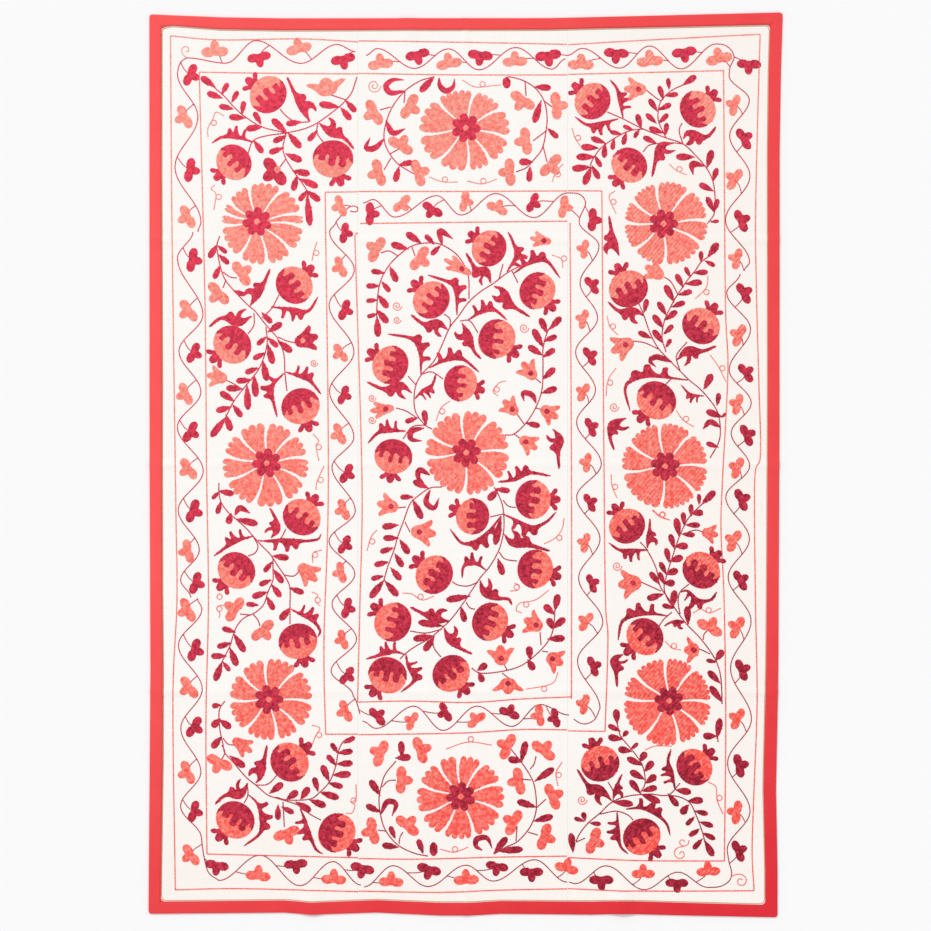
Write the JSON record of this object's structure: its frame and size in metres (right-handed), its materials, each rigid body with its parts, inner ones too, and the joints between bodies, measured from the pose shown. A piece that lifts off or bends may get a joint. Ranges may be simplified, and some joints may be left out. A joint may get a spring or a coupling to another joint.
{
  "type": "embroidered cotton textile panel",
  "caption": "Large flat cotton cloth with silk rosettes and pomegranates embroidered in coral and crimson, bound with a red cotton strip.",
  "frame": {"origin": "under the middle of the cloth's outline, on the surface that carries it", "axes": "+X across the cloth to the right, +Y along its length towards the top edge, +Z out of the embroidered face"},
  "size_m": [1.502, 2.1436, 0.0096],
  "materials": {
    "undyed_cotton": "plain-woven undyed cotton, washed and pressed",
    "red_cotton": "thin plain-woven red cotton strip, folded over the edge and stitched",
    "coral_silk": "chain-stitched silk thread, soft sheen",
    "crimson_silk": "chain-stitched silk thread, mottled by uneven dyeing"
  },
  "bodies": {
    "root": {"binding_bottom": "red_cotton", "binding_left": "red_cotton", "binding_right": "red_cotton", "binding_top": "red_cotton", "ground_centre": "undyed_cotton", "ground_left": "undyed_cotton", "ground_right": "undyed_cotton", "pomegranate_01": "crimson_silk", "pomegranate_02": "crimson_silk", "pomegranate_03": "crimson_silk", "pomegranate_04": "crimson_silk", "pomegranate_05": "crimson_silk", "pomegranate_06": "crimson_silk", "pomegranate_07": "crimson_silk", "pomegranate_08": "crimson_silk", "pomegranate_09": "crimson_silk", "pomegranate_10": "crimson_silk", "pomegranate_11": "crimson_silk", "pomegranate_12": "crimson_silk", "pomegranate_13": "crimson_silk", "pomegranate_14": "crimson_silk", "pomegranate_15": "crimson_silk", "pomegranate_16": "crimson_silk", "pomegranate_17": "crimson_silk", "pomegranate_18": "crimson_silk", "pomegranate_19": "crimson_silk", "pomegranate_20": "crimson_silk", "pomegranate_21": "crimson_silk", "pomegranate_22": "crimson_silk", "pomegranate_23": "crimson_silk", "pomegranate_24": "crimson_silk", "pomegranate_25": "crimson_silk", "pomegranate_26": "crimson_silk", "pomegranate_27": "crimson_silk", "pomegranate_28": "crimson_silk", "pomegranate_29": "crimson_silk", "pomegranate_30": "crimson_silk", "pomegranate_31": "crimson_silk", "pomegranate_32": "crimson_silk", "pomegranate_33": "crimson_silk", "pomegranate_34": "crimson_silk", "pomegranate_35": "crimson_silk", "pomegranate_36": "crimson_silk", "pomegranate_37": "crimson_silk", "pomegranate_38": "crimson_silk", "pomegranate_39": "crimson_silk", "rosette_bottom": "coral_silk", "rosette_centre": "coral_silk", "rosette_left_lower": "coral_silk", "rosette_left_middle": "coral_silk", "rosette_left_upper": "coral_silk", "rosette_right_lower": "coral_silk", "rosette_right_middle": "coral_silk", "rosette_right_upper": "coral_silk", "rosette_top": "coral_silk"}
  },
  "joints": []
}
